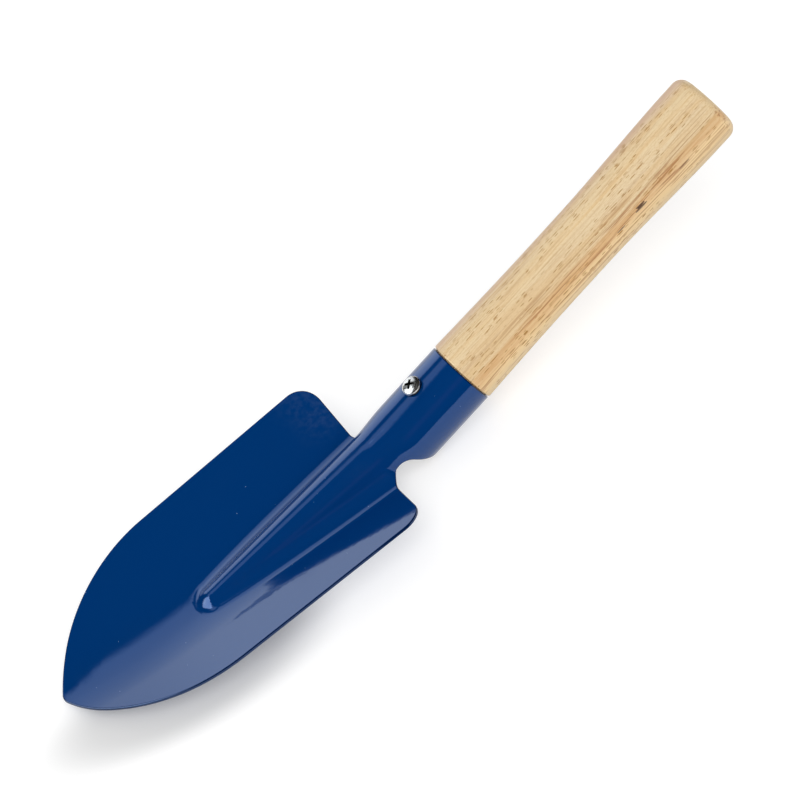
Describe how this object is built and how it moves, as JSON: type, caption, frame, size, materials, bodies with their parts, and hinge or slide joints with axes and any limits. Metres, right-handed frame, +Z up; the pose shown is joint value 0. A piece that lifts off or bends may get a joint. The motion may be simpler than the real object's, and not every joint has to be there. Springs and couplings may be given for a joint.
{
  "type": "garden hand trowel",
  "caption": "Hand trowel for digging and planting: dished, pointed steel blade with a stiffening ridge and rolled socket, screwed to a turned wooden handle.",
  "frame": {"origin": "on the table under the middle of the trowel's bounding box, as the trowel lies at rest with its scoop up", "axes": "+X from the blade's tip towards the handle's butt, +Y across the blade, +Z up from the table; the handle rises towards +X at about 16 degrees"},
  "size_m": [0.2892, 0.0818, 0.0627],
  "materials": {
    "navy_paint": "glossy navy enamel over sheet steel, with soft broad reflections",
    "pale_wood": "satin clear varnish over pale turned wood with short dark pores and an orange-brown streak",
    "nickel": "bright nickel plate, slightly brushed"
  },
  "bodies": {
    "root": {"blade": "navy_paint", "handle": "pale_wood", "screw": "nickel"}
  },
  "joints": []
}
